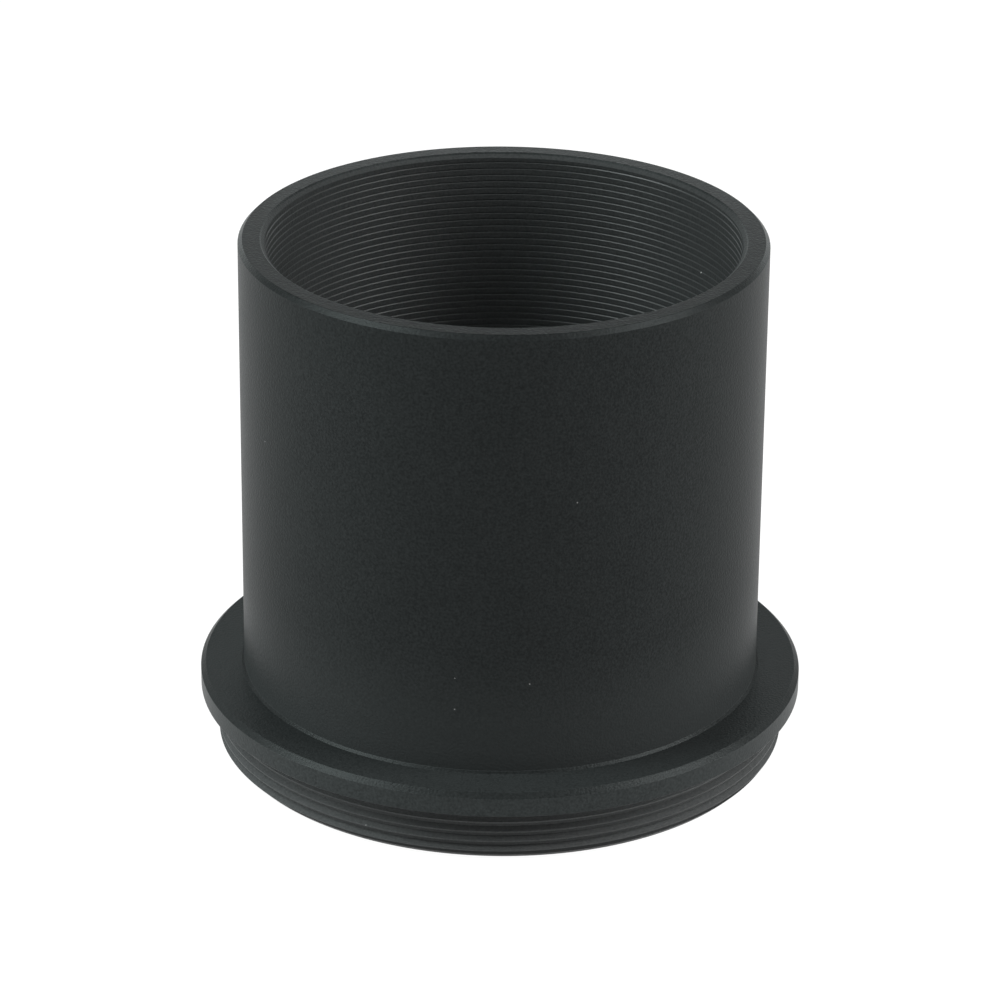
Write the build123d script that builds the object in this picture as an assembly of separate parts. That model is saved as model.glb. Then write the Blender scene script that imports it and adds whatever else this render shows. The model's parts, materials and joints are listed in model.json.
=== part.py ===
from build123d import *
import math
import os

# A Barlow lens built into a two-inch nosepiece.  It stands on its threaded camera end, and the
# optical axis is Z.  All sizes are in millimetres, and every radius is measured from that axis.

thread_flank = math.radians(30)

# Nosepiece tube
total_height = 52.45
nose_diameter = 50.8            # a two-inch focuser takes this
nose_wall = 2.55                # tube radius to the crests of the bore's grooves
rim_chamfer = 0.43
mouth_chamfer = 0.45
foot_fillet = 0.28

# Stop flange
flange_height = 5.60            # camera end to the flange's underside
flange_thickness = 2.38
flange_overhang = 4.30          # tube radius to flange radius
flange_chamfer = 0.50
flange_edge_break = 0.12

# Male camera thread, M56 x 1
camera_thread_step = 2.60       # tube radius to the thread's crest
camera_pitch = 1.00
camera_chamfer = 0.95
camera_turns = 3
relief_depth = 0.12             # below the thread's root

# Glare grooves in the bore
groove_pitch = 0.675
groove_depth = 0.20
groove_floor = 0.045
groove_margin = 0.60            # plain bore left at each end of the grooves

# Female thread for the lens cell, M48 x 0.75
cell_seat_width = 1.15          # bore radius to the thread's outer radius
cell_pitch = 0.75
cell_thread_clearance = 0.05    # male crest inside the female crest, so that the rings pass
cell_recess = 8.00              # camera end to the cell's lower face
end_chamfer = 0.50

# Lens cell and what it holds
cell_wall = 1.90                # under the thread's root
seat_lip = 1.20                 # thickness of the lip that the front lens rests on
lens_ledge = 1.20               # flat ring round each polished face
glass_clearance = 0.04
lens_bevel = 0.20
spacer_height = 0.50
cushion_thickness = 0.50
ring_height = 2.20
ring_recess = 0.30              # cell's lower face to the retaining ring
ring_bore_step = 0.60           # clear radius to the retaining ring's bore
ring_clearance = 0.03
ring_pitch = 0.50
slot_width = 1.60
slot_depth = 1.00

# Polished faces, as thicknesses on the axis and radii of curvature, which are over zero where
# the face is hollow and under zero where it is domed
front_lens_centre = 2.20
front_lens_upper = 160.0
front_lens_lower = 75.0
rear_lens_centre = 4.00
rear_lens_upper = -78.0
rear_lens_lower = 140.0

# Glare stop, a thin ring held between the cell and the barrel's shoulder
stop_thickness = 0.60
stop_step = 0.90                # clear radius to the stop's opening
stop_clearance = 0.10


def thread_depth(pitch):
    """Height of a metric thread from crest to root."""
    return 0.625 * math.sqrt(0.75) * pitch


def sag(curvature, radius):
    """Depth of a polished face at that distance from its centre: over zero if it is hollow."""
    return math.copysign(abs(curvature) - math.sqrt(curvature**2 - radius**2), curvature)


# Radii that follow from the sizes above
tube = nose_diameter / 2
bore = tube - nose_wall
flange = tube + flange_overhang
camera_crest = tube + camera_thread_step
camera_root = camera_crest - thread_depth(camera_pitch)
relief = camera_root - relief_depth
cell_root = bore + cell_seat_width
cell_crest = cell_root - thread_depth(cell_pitch)
cell_outside = cell_crest - cell_thread_clearance
cell_bore = cell_outside - thread_depth(cell_pitch) - cell_wall
lens_radius = cell_bore - glass_clearance
clear_radius = lens_radius - lens_ledge
ring_bore = clear_radius - ring_bore_step

# Heights that follow, from the camera end upwards
ring_bottom = cell_recess + ring_recess
ring_top = ring_bottom + ring_height
rear_edge_bottom = ring_top + cushion_thickness
rear_edge = rear_lens_centre + sag(rear_lens_upper, clear_radius) + sag(rear_lens_lower, clear_radius)
rear_edge_top = rear_edge_bottom + rear_edge
front_edge_bottom = rear_edge_top + spacer_height
front_edge = front_lens_centre + sag(front_lens_upper, clear_radius) + sag(front_lens_lower, clear_radius)
front_edge_top = front_edge_bottom + front_edge
cell_top = front_edge_top + seat_lip
shoulder = cell_top + stop_thickness
flange_top = flange_height + flange_thickness


def at(radius, height):
    """A point of a turning outline."""
    return Vector(radius, 0, height)


def line(points):
    """Straight runs through (radius, height) points."""
    return Polyline(*[at(*point) for point in points]).edges()


def turned(*runs):
    """The solid that a closed outline makes when it turns about the axis."""
    outline = Wire([edge for run in runs for edge in run])
    return revolve(Face(outline), Axis.Z)


def grooves(crest, root, pitch, floor_width, first, count, step):
    """Points of ring grooves with 60 degree sides, centred on first and then a pitch apart."""
    floor = floor_width / 2
    mouth = floor + abs(crest - root) * math.tan(thread_flank)
    points = []
    for turn in range(count):
        centre = first + step * turn * pitch
        points += [
            (crest, centre - step * mouth),
            (root, centre - step * floor),
            (root, centre + step * floor),
            (crest, centre + step * mouth),
        ]
    return points


def fitting(length, pitch):
    """How many whole grooves that length holds."""
    return max(int(length / pitch), 1)


def barrel():
    """Tube, stop flange and camera thread, turned in one piece."""
    first_crest = camera_chamfer + camera_pitch / 16
    camera = grooves(
        camera_crest, camera_root, camera_pitch, camera_pitch / 4,
        first_crest + camera_pitch / 2, camera_turns, 1,
    )
    last_crest = camera[-1][1] + camera_pitch / 8
    outside = line([
        (camera_crest - camera_chamfer, 0),
        (camera_crest, camera_chamfer),
        *camera,
        (camera_crest, last_crest),
        (relief, last_crest + (camera_crest - relief) * math.tan(thread_flank)),
        (relief, flange_height),
        (flange - flange_edge_break, flange_height),
        (flange, flange_height + flange_edge_break),
        (flange, flange_top - flange_chamfer),
        (flange - flange_chamfer, flange_top),
        (tube + foot_fillet, flange_top),
    ])
    middle = foot_fillet * (1 - math.sqrt(0.5))
    foot = ThreePointArc(
        at(tube + foot_fillet, flange_top),
        at(tube + middle, flange_top + middle),
        at(tube, flange_top + foot_fillet),
    ).edges()
    glare_top = total_height - mouth_chamfer - groove_margin - groove_pitch / 2
    glare_turns = fitting(glare_top - shoulder - groove_margin, groove_pitch)
    thread_top = shoulder - cell_pitch
    thread_turns = fitting(thread_top - end_chamfer - cell_pitch, cell_pitch)
    inside = line([
        (tube, flange_top + foot_fillet),
        (tube, total_height - rim_chamfer),
        (tube - rim_chamfer, total_height),
        (bore + mouth_chamfer, total_height),
        (bore, total_height - mouth_chamfer),
        *grooves(bore, bore + groove_depth, groove_pitch, groove_floor, glare_top, glare_turns, -1),
        (bore, shoulder),
        (cell_root, shoulder),
        (cell_root, thread_top),
        *grooves(
            cell_crest, cell_root, cell_pitch, cell_pitch / 8,
            thread_top - cell_pitch, thread_turns, -1,
        ),
        (cell_crest, end_chamfer),
        (cell_crest + end_chamfer, 0),
        (camera_crest - camera_chamfer, 0),
    ])
    return turned(outside, foot, inside)


def slotted(piece, height):
    """The piece with a spanner slot cut straight across its lower face."""
    cutter = Pos(0, 0, height) * Box(4 * flange, slot_width, 2 * slot_depth)
    return piece - cutter


def lens_cell():
    """Threaded tube with a lip at its upper end, which the lenses are dropped into."""
    outer_turns = fitting(cell_top - cell_recess - 3 * cell_pitch, cell_pitch)
    ring_root = cell_bore + thread_depth(ring_pitch)
    ring_turns = fitting(ring_height + ring_recess - ring_pitch, ring_pitch)
    outline = line([
        (ring_root, cell_recess),
        (cell_outside - cell_pitch / 2, cell_recess),
        (cell_outside, cell_recess + cell_pitch / 2),
        *grooves(
            cell_outside, cell_outside - thread_depth(cell_pitch), cell_pitch, cell_pitch / 4,
            cell_recess + 1.5 * cell_pitch, outer_turns, 1,
        ),
        (cell_outside, cell_top - cell_pitch / 2),
        (cell_outside - cell_pitch / 2, cell_top),
        (clear_radius + seat_lip / 2, cell_top),
        (clear_radius, cell_top - seat_lip / 2),
        (clear_radius, front_edge_top),
        (cell_bore, front_edge_top),
        (cell_bore, ring_top),
        *grooves(
            cell_bore, ring_root, ring_pitch, ring_pitch / 8,
            ring_top - ring_pitch, ring_turns, -1,
        ),
        (cell_bore, cell_recess + thread_depth(ring_pitch)),
        (ring_root, cell_recess),
    ])
    return slotted(turned(outline), cell_recess)


def lens(upper, lower, bottom, top):
    """A lens from the curvatures of its faces and the heights of its edge."""
    def face(curvature, height, way):
        depth = sag(curvature, clear_radius)
        halfway = depth - sag(curvature, clear_radius / 2)
        return ThreePointArc(
            at(0, height + way * depth),
            at(clear_radius / 2, height + way * halfway),
            at(clear_radius, height),
        ).edges()

    rim = line([
        (clear_radius, top),
        (lens_radius - lens_bevel, top),
        (lens_radius, top - lens_bevel),
        (lens_radius, bottom + lens_bevel),
        (lens_radius - lens_bevel, bottom),
        (clear_radius, bottom),
    ])
    axis = line([(0, bottom + sag(lower, clear_radius)), (0, top - sag(upper, clear_radius))])
    return turned(face(upper, top, -1), rim, face(lower, bottom, 1), axis)


def front_lens():
    """Hollow on both faces."""
    return lens(front_lens_upper, front_lens_lower, front_edge_bottom, front_edge_top)


def rear_lens():
    """Domed towards the front lens and hollow towards the camera."""
    return lens(rear_lens_upper, rear_lens_lower, rear_edge_bottom, rear_edge_top)


def plain_ring(inner, outer, bottom, top):
    """A flat ring of square section."""
    return turned(line([(inner, bottom), (outer, bottom), (outer, top), (inner, top), (inner, bottom)]))


def lens_spacer():
    """Thin ring that keeps the two lenses apart."""
    return plain_ring(clear_radius, lens_radius, rear_edge_top, front_edge_bottom)


def cushion_ring():
    """Soft washer between the rear lens and its retaining ring."""
    return plain_ring(clear_radius, lens_radius, ring_top, rear_edge_bottom)


def retaining_ring():
    """Threaded ring that clamps the lenses up against the cell's lip."""
    outer = cell_bore - ring_clearance
    turns = fitting(ring_height - ring_pitch, ring_pitch)
    outline = line([
        (ring_bore + ring_height / 3, ring_bottom),
        (outer - ring_pitch / 2, ring_bottom),
        (outer, ring_bottom + ring_pitch / 2),
        *grooves(
            outer, outer - thread_depth(ring_pitch), ring_pitch, ring_pitch / 4,
            ring_bottom + ring_pitch, turns, 1,
        ),
        (outer, ring_top),
        (ring_bore, ring_top),
        (ring_bore, ring_bottom + ring_height / 3),
        (ring_bore + ring_height / 3, ring_bottom),
    ])
    return slotted(turned(outline), ring_bottom)


def glare_stop():
    """Thin ring with a bevelled opening, just smaller than the lens."""
    opening = clear_radius - stop_step
    outer = cell_crest - stop_clearance
    return turned(line([
        (opening, cell_top),
        (outer, cell_top),
        (outer, shoulder),
        (opening + stop_thickness, shoulder),
        (opening, cell_top + stop_thickness / 4),
        (opening, cell_top),
    ]))


os.makedirs("parts", exist_ok=True)
for make in (barrel, lens_cell, front_lens, rear_lens, lens_spacer, cushion_ring, retaining_ring, glare_stop):
    export_step(make(), f"parts/{make.__name__}.step")
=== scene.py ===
"""The looks of a Barlow lens in a two-inch nosepiece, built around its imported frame.

Heights and radii are in millimetres until a mesh is made, and then in metres.  Every piece is a
surface that is turned about the optical axis: a grid of rows, each a point of the outline, by
columns, each an angle about the axis."""

import json
import math

import bmesh
import bpy
import numpy as np
from mathutils import Matrix, Vector


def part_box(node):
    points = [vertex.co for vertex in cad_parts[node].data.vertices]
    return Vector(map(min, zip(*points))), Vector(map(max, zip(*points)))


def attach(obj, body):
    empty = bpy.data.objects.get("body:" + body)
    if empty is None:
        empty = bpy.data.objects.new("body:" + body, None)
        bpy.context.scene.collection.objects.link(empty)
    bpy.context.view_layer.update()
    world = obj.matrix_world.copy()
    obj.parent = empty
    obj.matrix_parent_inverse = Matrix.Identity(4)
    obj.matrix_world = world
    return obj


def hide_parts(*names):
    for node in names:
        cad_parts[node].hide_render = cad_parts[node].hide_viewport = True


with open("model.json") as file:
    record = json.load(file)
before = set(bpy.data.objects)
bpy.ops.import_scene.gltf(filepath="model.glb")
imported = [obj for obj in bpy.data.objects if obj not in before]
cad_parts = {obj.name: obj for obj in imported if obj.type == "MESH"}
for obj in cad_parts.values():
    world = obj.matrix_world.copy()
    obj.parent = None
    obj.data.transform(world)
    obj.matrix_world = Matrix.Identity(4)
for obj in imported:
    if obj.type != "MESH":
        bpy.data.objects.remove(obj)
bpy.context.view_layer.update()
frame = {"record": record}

MM = 0.001
TURN = 2 * math.pi
COLUMNS = 192
MERGE = 1e-7                    # metres: points nearer than this are one point
SHARP = math.radians(24)        # edges that turn by more than this stay crisp
ARC_STEP = math.radians(15)     # rounded corners have about one row for each of these
THREAD_FLANK = math.tan(math.radians(30))

mounts = {mount["name"]: mount for mount in frame["record"]["mounts"]}


def span(node):
    """Radius, lowest and highest height of a node, in millimetres."""
    low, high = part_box(node)
    return high.x / MM, low.z / MM, high.z / MM


# Sizes read from the frame
flange, _, height = span("barrel")
tube = mounts["nose"]["dims"]["r_mm"]
camera_crest = mounts["camera_thread"]["dims"]["r_mm"]
flange_top = mounts["flange_top"]["pos_m"][2] / MM
_, _, shoulder = span("glare_stop")
cell_radius, cell_bottom, cell_top = span("lens_cell")
ring_radius, ring_bottom, ring_top = span("retaining_ring")
lens_radius, _, lens_top = span("front_lens")

# Barrel
wall = 2.55                     # tube radius to the crests of the bore's grooves
rim_chamfer = 0.43
mouth_chamfer = 0.45
foot_cone = 0.24                # where the tube meets the flange
flange_thickness = 2.38
flange_chamfer = 0.50
flange_edge = 0.12
bore = tube - wall
flange_bottom = flange_top - flange_thickness

# Camera thread, M56 x 1, with a relief groove between it and the flange
camera_pitch = 1.0
camera_depth = 0.5413
camera_chamfer = 0.95
camera_start = 0.34             # height of a crest where the helix begins
relief_depth = 0.12             # below the thread's root
relief_bottom = 4.62

# Glare grooves in the bore, which lean as a left-hand screw does
groove_pitch = 0.675
groove_depth = 0.13
groove_floor = 0.02
groove_sides = (45, 12)         # degrees from a flat: the lower side and the upper one
groove_start = 1.03             # rim to a crest where the helix begins
groove_end = 0.6                # plain bore above the shoulder

# Thread for the lens cell, M48 x 0.75
cell_pitch = 0.75
cell_depth = 0.406
cell_root = 24.0
cell_crest = cell_root - cell_depth
cell_start = 0.3                # height of a crest where the helix begins
end_chamfer = 0.5

# Cell, rings and glass
glass_clearance = 0.04
ledge = 1.20                    # flat ring round each polished face
clear = lens_radius - ledge
cell_bore = lens_radius + glass_clearance
slot_width = 1.6
slot_depth = 1.0
ring_step = 0.6                 # clear radius to the retaining ring's bore
stop_step = 0.9                 # clear radius to the glare stop's opening
stop_bevel = 0.6
lens_bevel = 0.2

# Radii of curvature of the polished faces: over zero where hollow, under zero where domed
front_lens_upper = 160.0
front_lens_lower = 75.0
rear_lens_upper = -78.0
rear_lens_lower = 140.0


# ---------------------------------------------------------------- outlines and surfaces

def rounded(points):
    """An outline as an array of (radius, height).  Each point may have a third number, the
    radius of an arc that rounds its corner: the arc touches both runs, and a support point
    just outside each of its ends keeps the runs beside it flat."""
    plain = np.array([point[:2] for point in points], float)
    out = [plain[0]]
    for index in range(1, len(points) - 1):
        corner = plain[index]
        size = points[index][2] if len(points[index]) > 2 else 0
        if not size:
            out.append(corner)
            continue
        before, after = plain[index - 1] - corner, plain[index + 1] - corner
        before, after = before / np.hypot(*before), after / np.hypot(*after)
        half = math.acos(np.clip(before @ after, -1, 1)) / 2
        reach = size / math.tan(half)
        middle = before + after
        centre = corner + middle / np.hypot(*middle) * size / math.sin(half)
        start, end = corner + before * reach - centre, corner + after * reach - centre
        sweep = math.pi - 2 * half
        steps = max(3, round(sweep / ARC_STEP))
        share = np.linspace(0, 1, steps + 1)[:, None]
        arc = (np.sin((1 - share) * sweep) * start + np.sin(share * sweep) * end) / math.sin(sweep)
        support = min(0.6 * size, 0.06)
        out.append(corner + before * (reach + support))
        out.extend(centre + arc)
        out.append(corner + after * (reach + support))
    out.append(plain[-1])
    return np.array(out)


def turned(points, angles):
    """Rows of a plain surface of revolution: the radius and height of each outline point stay
    the same at every angle."""
    outline = rounded(points)
    ones = np.ones_like(angles)
    return outline[:, :1] * ones, outline[:, 1:] * ones


def screwed(angles, crest, root, pitch, floor, low, high, start,
            hand=1, outline=None, fade=0.0, detail=1, sides=(30, 30)):
    """Rows of a screw thread between two heights.  Each turn has four rows, at the two edges of
    the groove and the two edges of its floor.  A row climbs one pitch as it goes round once, and
    is kept between the two heights, so that the turns run into the plain surface at each end.
    The radius goes from the crest's at the groove's edges to the root's on its floor.

    Start is the height of a crest at the first angle, and hand is -1 for a left-hand screw.
    Fade is the length at each end over which the grooves deepen, and outline is a radius for each
    height that the thread may not stand outside.  Detail is the rows from one of the four to the
    next.  The groove's lower and upper sides lean by two angles, in degrees, from a flat across
    the axis."""
    under, over = (abs(crest - root) * math.tan(math.radians(side)) for side in sides)
    offsets = np.array([-floor / 2 - under, -floor / 2, floor / 2, floor / 2 + over])
    turns = np.arange(math.floor((low - start) / pitch) - 2, math.ceil((high - start) / pitch) + 2)
    centres = start + pitch / 2 + turns * pitch
    heights = (centres[:, None] + offsets).ravel()
    depths = np.tile([0.0, 1.0, 1.0, 0.0], len(centres))
    fine = np.linspace(0, len(heights) - 1, (len(heights) - 1) * detail + 1)
    places = np.arange(len(heights))
    heights, depths = np.interp(fine, places, heights), np.interp(fine, places, depths)
    z = np.clip(heights[:, None] + hand * pitch * angles / TURN, low, high)
    depth = depths[:, None] * np.ones_like(z)
    if fade:
        near = np.clip(np.minimum(z - low, high - z) / fade, 0, 1)
        depth = depth * near * near * (3 - 2 * near)
    radius = crest + (root - crest) * depth
    if outline is not None:
        radius = np.minimum(radius, np.interp(z, *outline))
    return radius, z


def downwards(rows):
    """The same rows in the opposite order."""
    return rows[0][::-1], rows[1][::-1]


def shell(name, blocks, angles, material):
    """A closed mesh from blocks of rows.  Point = (radius cos angle, radius sin angle, height).
    Each row is joined to the next and the last to the first, and points that meet are merged."""
    radius = np.concatenate([block[0] for block in blocks])
    z = np.concatenate([block[1] for block in blocks])
    angle = np.broadcast_to(angles, radius.shape)
    points = np.stack([radius * np.cos(angle), radius * np.sin(angle), z], -1) * MM
    rows, columns = radius.shape
    index = np.arange(rows * columns).reshape(rows, columns)
    after = np.roll(index, -1, 0)
    quads = np.stack([index[:, :-1], index[:, 1:], after[:, 1:], after[:, :-1]], -1).reshape(-1, 4)
    mesh = bpy.data.meshes.new(name)
    mesh.from_pydata(points.reshape(-1, 3), [], quads)
    work = bmesh.new()
    work.from_mesh(mesh)
    bmesh.ops.remove_doubles(work, verts=work.verts, dist=MERGE)
    work.to_mesh(mesh)
    work.free()
    mesh.polygons.foreach_set("use_smooth", np.ones(len(mesh.polygons), bool))
    mesh.set_sharp_from_angle(angle=SHARP)
    mesh.materials.append(material)
    piece = bpy.data.objects.new(name, mesh)
    bpy.context.scene.collection.objects.link(piece)
    return piece


def slotted(points, slot_top):
    """Blocks and angles of a turned ring with two straight spanner slots across its lower face.
    Columns beside a slot lie on its walls, at half the slot's width from the middle plane, so
    their angle is the arc sine of half the width over the radius.  Inside a slot, heights under
    the slot's top are raised to it."""
    outline = rounded(points)
    between = np.linspace(0, 1, COLUMNS // 2 + 1)[1:-1]
    base, lean, inside = [], [], []
    for centre in (0.0, math.pi):
        base += [centre] * 5 + list(centre + math.pi * between)
        lean += [-1, -1, 0, 1, 1] + list(1 - 2 * between)
        inside += [False, True, True, True, False] + [False] * len(between)
    base, lean = np.array(base + [TURN]), np.array(lean + [-1])
    inside = np.array(inside + [False])
    radius = outline[:, :1] * np.ones(len(base))
    columns = base + lean * np.arcsin(slot_width / 2 / radius)
    z = outline[:, 1:] * np.ones(len(base))
    z = np.where(inside, np.maximum(z, slot_top), z)
    return [(radius, z)], columns


# ---------------------------------------------------------------- shader maths

class Link:
    """One output of a node.  Arithmetic on it adds Math nodes."""

    def __init__(self, tree, node, output=0):
        self.tree, self.node, self.output = tree, node, output

    def out(self, output):
        """Another output of the same node."""
        return Link(self.tree, self.node, output)

    def __add__(self, other):
        return self.tree.maths("ADD", self, other)

    def __sub__(self, other):
        return self.tree.maths("SUBTRACT", self, other)

    def __rsub__(self, other):
        return self.tree.maths("SUBTRACT", other, self)

    def __mul__(self, other):
        return self.tree.maths("MULTIPLY", self, other)

    def __pow__(self, other):
        return self.tree.maths("POWER", self, other)

    def __gt__(self, other):
        return self.tree.maths("GREATER_THAN", self, other)

    def __lt__(self, other):
        return self.tree.maths("LESS_THAN", self, other)

    __radd__, __rmul__ = __add__, __mul__


class Tree:
    """The nodes of one material or of the world."""

    def __init__(self, owner):
        owner.use_nodes = True
        self.nodes, self.links = owner.node_tree.nodes, owner.node_tree.links
        self.nodes.clear()

    def fill(self, socket, value):
        """Gives a socket its value, or a link from a node's output."""
        if isinstance(value, Link):
            self.links.new(value.node.outputs[value.output], socket)
        else:
            socket.default_value = value

    def node(self, kind, settings=None, *values, **sockets):
        """Adds a node.  Settings come first; values fill its inputs in order, and sockets fill
        them by name, with _ for a space."""
        made = self.nodes.new(kind)
        for key, value in (settings or {}).items():
            setattr(made, key, value)
        for place, value in enumerate(values):
            self.fill(made.inputs[place], value)
        for key, value in sockets.items():
            self.fill(made.inputs[key.replace("_", " ")], value)
        return Link(self, made)

    def maths(self, operation, *values):
        """A Math node."""
        return self.node("ShaderNodeMath", {"operation": operation}, *values)

    def either(self, first, *others):
        """The largest of some values."""
        for other in others:
            first = self.maths("MAXIMUM", first, other)
        return first

    def ripple(self, length, size):
        """A sine wave along a length, from -1 to 1, that repeats after so many millimetres."""
        return self.maths("SINE", length * (TURN / (size * MM)))

    def noise(self, place, size, detail=2.0):
        """Noise from 0 to 1 whose features are about that many millimetres across."""
        return self.node("ShaderNodeTexNoise", None, Vector=place, Scale=1 / (size * MM), Detail=detail)

    def bump(self, relief, strength, distance):
        """A surface normal tilted by the relief, whose height is in millimetres."""
        return self.node("ShaderNodeBump", None, Strength=strength, Distance=distance * MM, Height=relief)

    def ramp(self, value, *stops, full=1):
        """A grey ramp through (value, level) stops, for values from 0 to full."""
        made = self.node("ShaderNodeValToRGB", None, value if full == 1 else value * (1 / full))
        elements = made.node.color_ramp.elements
        while len(elements) < len(stops):
            elements.new(0.5)
        for element, (place, level) in zip(elements, stops):
            element.position, element.color = place / full, (level, level, level, 1)
        return made

    def mix(self, share, first, second):
        """First colour to second as share goes from 0 to 1."""
        made = self.node("ShaderNodeMix", {"data_type": "RGBA"}, share)
        self.fill(made.node.inputs[6], first)
        self.fill(made.node.inputs[7], second)
        return made.out(2)


def grey(level, cool=0.0):
    """A near-neutral colour: cool is the share of the red that is taken away."""
    return (level * (1 - cool), level, level, 1)


def finished(name, build):
    """A material whose Principled shader is filled by build(tree), which returns its sockets."""
    material = bpy.data.materials.new(name)
    tree = Tree(material)
    shader = tree.node("ShaderNodeBsdfPrincipled", None, **build(tree))
    tree.node("ShaderNodeOutputMaterial", None, Surface=shader)
    return material


def on_object(tree):
    """Object coordinates."""
    return tree.node("ShaderNodeTexCoord").out(3)


def about_axis(tree, place):
    """Height and distance from the axis."""
    split = tree.node("ShaderNodeSeparateXYZ", None, place)
    x, y, z = (split.out(axis) for axis in range(3))
    return z, (x * x + y * y) ** 0.5


# ---------------------------------------------------------------- finishes

def barrel_zones(tree, z, radius):
    """Masks, each 1 in one zone of the barrel and 0 outside it.  Zones overlap where one colour
    is mixed over another.  Borders stand off the edges that they follow by a margin, so that
    rounding splits no face."""
    margin = 0.01
    foot_top = flange_top + foot_cone - margin
    foot = (radius < tube + foot_cone - margin) * (z > flange_top + margin) * (z < foot_top)
    lip = (radius > flange - flange_chamfer + margin) * (z > flange_top - flange_chamfer + margin)
    rim = (radius > tube - rim_chamfer + margin) * (z > height - rim_chamfer + margin)
    inside = radius < bore + 0.3
    below_mouth = z < height - mouth_chamfer - margin
    return {
        "chamfers": tree.either(foot, lip, rim),
        "rim_face": (z > height - margin) * (radius > bore + mouth_chamfer - margin),
        "tube": radius < tube + 2 * margin,
        "flange_face": (radius > tube + 0.2) * (z < flange_top + 0.2),
        "under": z < flange_top - flange_chamfer + margin / 2,
        "threads": z < flange_bottom - 2 * margin,
        "lead_in": z < camera_chamfer - 0.05,
        "bore": inside,
        "grooves": inside * (radius > bore + margin) * below_mouth,
    }


def black_anodised(tree):
    """Blasted and black anodised aluminium: near black, with a fine grain that shows in colour,
    roughness and bump, and faint rings left by the tool.  The side of the flange is lighter.  The
    lower tube near the flange, the camera thread and, lightest, the groove above the thread are
    lightened with painted light, against the shade that the flange casts there.  The chamfers
    are darker and glossier, and the rim's face darkest.  The bore is dull between its grooves,
    whose sides are glossy, and painted light lightens it deep down.  A few specks of dust lie on
    it, most of them in the bore."""
    place = on_object(tree)
    z, radius = about_axis(tree, place)
    high = z * (1 / MM)
    zone = barrel_zones(tree, high, radius * (1 / MM))
    grain = 3.0 * tree.noise(place, 0.24) - 1.0
    cloud = tree.noise(place, 6.0)
    level = 0.75 * grain + 0.25 * cloud

    blasted_and_painted_light = tree.mix(level + 0.35 * zone["flange_face"], grey(0.0075, 0.12), grey(0.0165, 0.10))
    # Painted light: the lower tube is lightened towards the flange, where the flange shades its foot.
    low = tree.ramp(high, (8.0, 1.0), (11.5, 0.45), (20.0, 0.0), full=50) * zone["tube"]
    blasted_and_painted_light = tree.mix(0.8 * low, blasted_and_painted_light, grey(0.028, 0.08))
    blasted_and_painted_light = tree.mix(0.30 * zone["chamfers"] + 0.70 * zone["rim_face"], blasted_and_painted_light, grey(0.001))
    flange_side = tree.mix(level, grey(0.0130, 0.14), grey(0.0270, 0.12))

    # Painted light: the camera thread is far lighter than the tube, and the relief groove under the
    # flange lighter still, to lift the shade beneath the flange.
    thread = tree.mix(level, grey(0.0390, 0.04), grey(0.0550, 0.03))
    hollow = tree.mix(level, grey(0.1500, 0.04), grey(0.1900, 0.03))
    thread = tree.mix(tree.ramp(high, (4.0, 0.0), (5.0, 1.0), full=10), thread, hollow)
    thread = tree.mix(0.6 * zone["lead_in"], thread, grey(0.010))

    lands = tree.mix(level, grey(0.0155, 0.06), grey(0.0250, 0.05))
    # Painted light: the lands are lightened deep in the bore, where little light reaches.
    painted_bore_light = tree.ramp(high, (34.0, 1.0), (46.0, 0.0), full=50)
    lands = tree.mix(0.25 * painted_bore_light, lands, grey(0.050, 0.06))

    colour = tree.mix(zone["threads"], tree.mix(zone["under"], blasted_and_painted_light, flange_side), thread)
    colour = tree.mix(zone["bore"], colour, lands)
    cells = tree.node("ShaderNodeTexVoronoi", None, Vector=place, Scale=1 / (1.4 * MM))
    chance = tree.node("ShaderNodeSeparateColor", None, cells.out(1))
    dust = (chance > 0.98 - 0.15 * zone["bore"]) * (cells < 0.050)
    colour = tree.mix(dust * (0.35 + 0.60 * zone["bore"]), colour, grey(0.42))

    relief = grain + 0.10 * tree.ripple(radius, 0.11) * tree.noise(place, 2.0)
    gloss = 0.02 * zone["chamfers"] + 0.12 * zone["under"] - 0.10 * zone["threads"]
    rough = 0.38 + 0.06 * grain + 0.04 * cloud - 0.05 * zone["chamfers"]
    return {
        "Base_Color": colour,
        "Normal": tree.bump(relief, 0.90, 0.016),
        "Specular_IOR_Level": 0.07,
        "Specular_Tint": (0.90, 1.0, 0.99, 1),
        "Coat_Weight": gloss + 0.32 * zone["grooves"],
        "Coat_Roughness": 0.36,
        "Roughness": rough + 0.15 * (zone["bore"] - zone["grooves"]),
    }


def cell_black(tree):
    """Turned and black anodised aluminium, a little glossier than the barrel, with rings left by
    the tool."""
    place = on_object(tree)
    z, radius = about_axis(tree, place)
    grain = tree.noise(place, 0.2)
    relief = grain * 0.4 + tree.ripple(radius + z, 0.16) * 0.3
    return {
        "Base_Color": tree.mix(grain, grey(0.010, 0.03), grey(0.020, 0.02)),
        "Roughness": 0.32 + 0.10 * grain,
        "Normal": tree.bump(relief, 0.25, 0.01),
    }


def flat_black(tree):
    """Flat black paint with a fine tooth."""
    tooth = tree.noise(on_object(tree), 0.12, 3.0)
    return {
        "Base_Color": tree.mix(tooth, grey(0.006), grey(0.014)),
        "Roughness": 0.72 + 0.15 * tooth,
        "Normal": tree.bump(tooth, 0.4, 0.02),
        "Specular_IOR_Level": 0.25,
    }


def soft_black(tree):
    """Soft black plastic, moulded, slightly uneven."""
    uneven = tree.noise(on_object(tree), 0.8)
    return {
        "Base_Color": tree.mix(uneven, grey(0.014), grey(0.024)),
        "Roughness": 0.50 + 0.12 * uneven,
        "Normal": tree.bump(uneven, 0.3, 0.02),
    }


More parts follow.
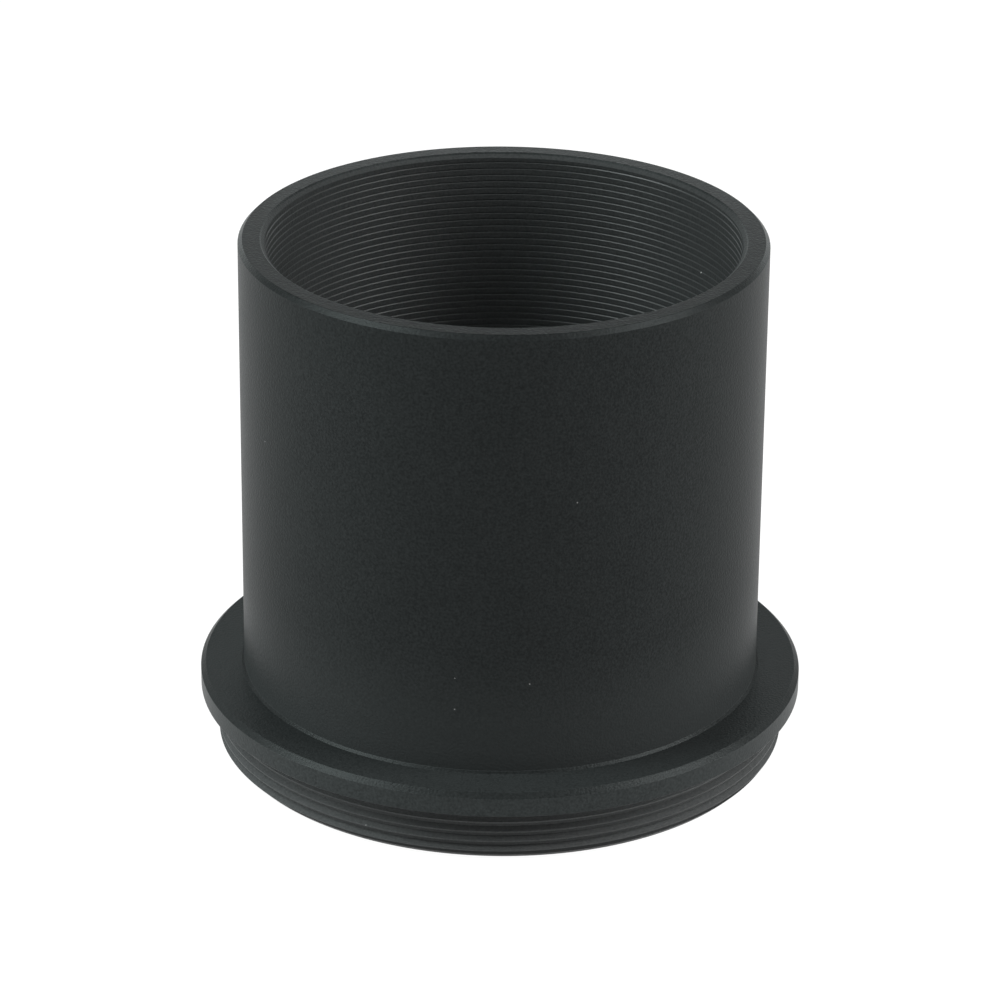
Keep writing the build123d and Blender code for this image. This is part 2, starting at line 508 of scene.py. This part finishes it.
def coated_glass(tree):
    """Clear optical glass with a coating whose reflections are faintly green.  Very fine dust
    makes it a touch rougher in places."""
    return {
        "Base_Color": (0.93, 0.98, 0.95, 1),
        "Roughness": 0.01 * tree.noise(on_object(tree), 1.5, 3.0),
        "IOR": 1.52,
        "Transmission_Weight": 1.0,
        "Specular_Tint": (0.45, 1.0, 0.62, 1),
        "Coat_Weight": 0.15,
        "Coat_Tint": (0.95, 0.92, 1.0, 1),
    }


def pale_floor(tree):
    """Plain pale floor."""
    return {
        "Base_Color": grey(0.08),
        "Roughness": 0.9,
        "Specular_IOR_Level": 0.0,
        "Emission_Color": grey(1.0),
        "Emission_Strength": 0.95,
    }


# ---------------------------------------------------------------- pieces

angles = np.linspace(0, TURN, COLUMNS + 1)


def nosepiece(material):
    """Tube, stop flange, camera thread, glare grooves and the thread for the cell.  The outline
    goes up the outside, over the rim, down the bore and back along the camera end."""
    camera_root = camera_crest - camera_depth
    relief = camera_root - relief_depth
    last_crest = relief_bottom - (camera_crest - relief) * THREAD_FLANK
    envelope = (
        [0, camera_chamfer, last_crest, relief_bottom],
        [camera_crest - camera_chamfer, camera_crest, camera_crest, relief],
    )
    camera_thread = screwed(
        angles, camera_crest, camera_root, camera_pitch, camera_pitch / 4,
        0, relief_bottom, camera_start, outline=envelope, detail=4,
    )
    outside = turned([
        (relief, relief_bottom),
        (relief, flange_bottom, 0.10),
        (flange, flange_bottom, flange_edge),
        (flange, flange_top - flange_chamfer),
        (flange - flange_chamfer, flange_top, 0.06),
        (tube + foot_cone, flange_top),
        (tube, flange_top + foot_cone),
        (tube, height - rim_chamfer, 0.04),
        (tube - rim_chamfer, height, 0.04),
        (bore + mouth_chamfer, height, 0.05),
        (bore, height - mouth_chamfer),
    ], angles)
    glare = screwed(
        angles, bore, bore + groove_depth, groove_pitch, groove_floor,
        shoulder + groove_end, height - mouth_chamfer, height - groove_start,
        hand=-1, fade=0.5, sides=groove_sides,
    )
    thread_top = shoulder - cell_pitch
    seat = turned([
        (bore, shoulder + groove_end),
        (bore, shoulder),
        (cell_root, shoulder),
        (cell_root, thread_top),
        (cell_crest, thread_top),
    ], angles)
    cell_thread = screwed(
        angles, cell_crest, cell_root, cell_pitch, cell_pitch / 8,
        end_chamfer, thread_top, cell_start, fade=0.4,
    )
    mouth = turned([
        (cell_crest, end_chamfer),
        (cell_crest + end_chamfer, 0),
        (camera_crest - camera_chamfer, 0),
    ], angles)
    blocks = [camera_thread, outside, downwards(glare), seat, downwards(cell_thread), mouth]
    return shell("nosepiece", blocks, angles, material)


def cell_body(material):
    """Threaded cell with the lip that the front lens rests on, and two spanner slots."""
    root = cell_radius - cell_depth
    chamfer, mouth, lip = 0.4, 0.3, 0.6
    side, floor = 0.234, 0.188
    slot_top = cell_bottom + slot_depth
    points = [
        (cell_bore, cell_bottom + mouth),
        (cell_bore + mouth, cell_bottom),
        (cell_radius - chamfer, cell_bottom),
        (cell_radius, cell_bottom + chamfer),
    ]
    first = slot_top + 0.2
    for turn in range(int((cell_top - first - 1.2) / cell_pitch)):
        z = first + turn * cell_pitch
        points += [
            (cell_radius, z),
            (root, z + side),
            (root, z + side + floor),
            (cell_radius, z + side + floor + side),
        ]
    points += [
        (cell_radius, cell_top - chamfer),
        (cell_radius - chamfer, cell_top),
        (clear + lip, cell_top, 0.05),
        (clear, cell_top - lip, 0.05),
        (clear, lens_top),
        (cell_bore, lens_top),
        (cell_bore, ring_top),
        (cell_bore, slot_top),
        (cell_bore, cell_bottom + mouth),
    ]
    blocks, columns = slotted(points, slot_top)
    return shell("cell_body", blocks, columns, material)


def clamp_ring(material):
    """Retaining ring with a bevelled bore and two spanner slots."""
    hole = clear - ring_step
    bevel = (ring_top - ring_bottom) / 3
    chamfer = 0.25
    slot_top = ring_bottom + slot_depth
    points = [
        (hole + bevel, ring_bottom),
        (ring_radius - chamfer, ring_bottom),
        (ring_radius, ring_bottom + chamfer),
        (ring_radius, slot_top),
        (ring_radius, ring_top),
        (hole, ring_top),
        (hole, slot_top),
        (hole, ring_bottom + bevel),
        (hole + bevel, ring_bottom),
    ]
    blocks, columns = slotted(points, slot_top)
    return shell("clamp_ring", blocks, columns, material)


def flat_ring(name, node, hole, material, bevel=0.0):
    """A thin ring as large as its node.  A bevel widens its hole upwards, above a short land."""
    radius, low, high = span(node)
    soft = 0.05
    land = 0.15 if bevel else 0.0
    points = [
        (hole, low),
        (radius, low, soft),
        (radius, high, soft),
        (hole + bevel, high),
        (hole, low + land),
        (hole, low),
    ]
    return shell(name, [turned(points, angles)], angles, material)


def lens(name, node, upper, lower, material):
    """A lens as large as its node.  Each face is part of a sphere: its depth at a radius is the
    curvature less the square root of curvature squared less radius squared, over zero where the
    face is hollow.  The rim is a ground cylinder with a flat ledge beside each face."""
    radius, low, high = span(node)

    def depth(curvature, reach):
        return math.copysign(1, curvature) * (abs(curvature) - np.sqrt(curvature**2 - reach**2))

    out = np.linspace(0, clear, 33)
    edge_low = low + max(0, -depth(lower, clear))
    edge_high = high - max(0, -depth(upper, clear))
    under = [(reach, edge_low + depth(lower, clear) - depth(lower, reach)) for reach in out]
    over = [(reach, edge_high - depth(upper, clear) + depth(upper, reach)) for reach in out[::-1]]
    rim = [
        (radius - lens_bevel, edge_low),
        (radius, edge_low + lens_bevel),
        (radius, edge_high - lens_bevel),
        (radius - lens_bevel, edge_high),
    ]
    return shell(name, [turned(under + rim + over, angles)], angles, material)


black = finished("black_anodised", black_anodised)
cell_finish = finished("cell_black", cell_black)
matt = finished("flat_black", flat_black)
rubber = finished("soft_black", soft_black)
glass = finished("coated_glass", coated_glass)

tube_and_flange = nosepiece(black)
threaded_cell = cell_body(cell_finish)
ring = clamp_ring(cell_finish)
front_glass = lens("front_glass", "front_lens", front_lens_upper, front_lens_lower, glass)
rear_glass = lens("rear_glass", "rear_lens", rear_lens_upper, rear_lens_lower, glass)
spacer_ring = flat_ring("spacer_ring", "lens_spacer", clear, matt)
soft_washer = flat_ring("soft_washer", "cushion_ring", clear, rubber)
stop_ring = flat_ring("stop_ring", "glare_stop", clear - stop_step, matt, stop_bevel)

for piece, node, body, slot in (
    (tube_and_flange, "barrel", "barrel", "black_anodised"),
    (threaded_cell, "lens_cell", "cell", "cell_black"),
    (ring, "retaining_ring", "cell", "cell_black"),
    (front_glass, "front_lens", "optics", "coated_glass"),
    (rear_glass, "rear_lens", "optics", "coated_glass"),
    (spacer_ring, "lens_spacer", "optics", "flat_black"),
    (soft_washer, "cushion_ring", "optics", "cushion"),
    (stop_ring, "glare_stop", "optics", "flat_black"),
):
    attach(piece, body)
    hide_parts(node)


# ---------------------------------------------------------------- stage, light and camera

def pale_stage():
    """A wide flat floor under the part."""
    half_side = 3.0
    mesh = bpy.data.meshes.new("floor")
    corners = np.array([(-1, -1, 0), (1, -1, 0), (1, 1, 0), (-1, 1, 0)]) * half_side
    mesh.from_pydata(corners, [], [(0, 1, 2, 3)])
    mesh.materials.append(finished("pale_floor", pale_floor))
    floor = bpy.data.objects.new("floor", mesh)
    bpy.context.scene.collection.objects.link(floor)


def softbox(name, place, width, depth, radiance, aim=(0, 0, 0.03), tint=0.0):
    """A rectangular light at a place, in metres, that faces the point it aims at.  Power =
    radiance times area times pi.  Tint is the share of the red that is taken away."""
    light = bpy.data.lights.new(name, "AREA")
    light.shape, light.size, light.size_y = "RECTANGLE", width, depth
    light.energy = radiance * width * depth * math.pi
    light.color = (1 - tint, 1, 1)
    lamp = bpy.data.objects.new(name, light)
    way = Vector(aim) - Vector(place)
    lamp.matrix_world = Matrix.Translation(place) @ way.to_track_quat("-Z", "Y").to_matrix().to_4x4()
    lamp.visible_camera = False
    bpy.context.scene.collection.objects.link(lamp)


def room():
    """Dim light from all round, brighter low in front, and a little brighter overhead."""
    world = bpy.data.worlds.new("studio")
    bpy.context.scene.world = world
    tree = Tree(world)
    way = tree.node("ShaderNodeSeparateXYZ", None, tree.node("ShaderNodeTexCoord"))
    front = tree.ramp(0.5 + 0.5 * way.out(1), (0.3, 1.0), (0.6, 0.0))
    level = 0.08 + 0.42 * front * tree.ramp(way.out(2), (0.45, 1.0), (0.80, 0.0))
    level = level + 0.16 * tree.ramp(way.out(2), (0.60, 0.0), (0.85, 1.0))
    sky = tree.node("ShaderNodeBackground", None, Color=level, Strength=1.0)
    tree.node("ShaderNodeOutputWorld", None, Surface=sky)


def lights():
    """A low bright backdrop close behind the part, and on each side a softbox overhead and a
    panel lower down.  The two sides differ a little in strength and in colour."""
    behind = (0, 0.105, 0.07)
    softbox("backdrop", behind, 0.7, 0.042, 2.2, aim=(0, 0, behind[2]), tint=0.06)
    for side in (-1, 1):
        cool = 0.04 - 0.03 * side
        overhead = (0.49 * side + 0.03, -0.12, 0.53)
        beside = (0.60 * side, -0.12, 0.29)
        softbox("softbox", overhead, 0.32, 0.42, 13.0 * (1 - 0.06 * side), tint=cool)
        softbox("side_panel", beside, 0.30, 0.34, 9.5 * (1 + 0.03 * side), tint=cool)


def camera():
    """The camera: where it stands and how it is turned follow from the height it aims at, its
    distance, how far it looks down, how far it leans, and small shifts to the left and down."""
    distance, down, lean = 431.8 * MM, math.radians(24.41), math.radians(0.538)
    aim = Vector((0, 0, height * MM - 0.022))
    left, lower = 0.150 * MM, 5.186 * MM
    forward = Vector((0, math.cos(down), -math.sin(down)))
    right = Vector((1, 0, 0))
    up = right.cross(forward)
    place = aim - forward * distance - right * left - up * lower
    leaning_right = right * math.cos(lean) + up * math.sin(lean)
    leaning_up = up * math.cos(lean) - right * math.sin(lean)
    facing = Matrix((leaning_right, leaning_up, -forward)).transposed().to_4x4()
    optics = bpy.data.cameras.new("camera")
    optics.sensor_width, optics.lens = 36.0, 159.58
    optics.clip_start, optics.clip_end = 0.01, 50
    eye = bpy.data.objects.new("camera", optics)
    eye.matrix_world = Matrix.Translation(place) @ facing
    bpy.context.scene.collection.objects.link(eye)
    bpy.context.scene.camera = eye


pale_stage()
room()
lights()
camera()
bpy.context.scene.view_settings.view_transform = "Standard"
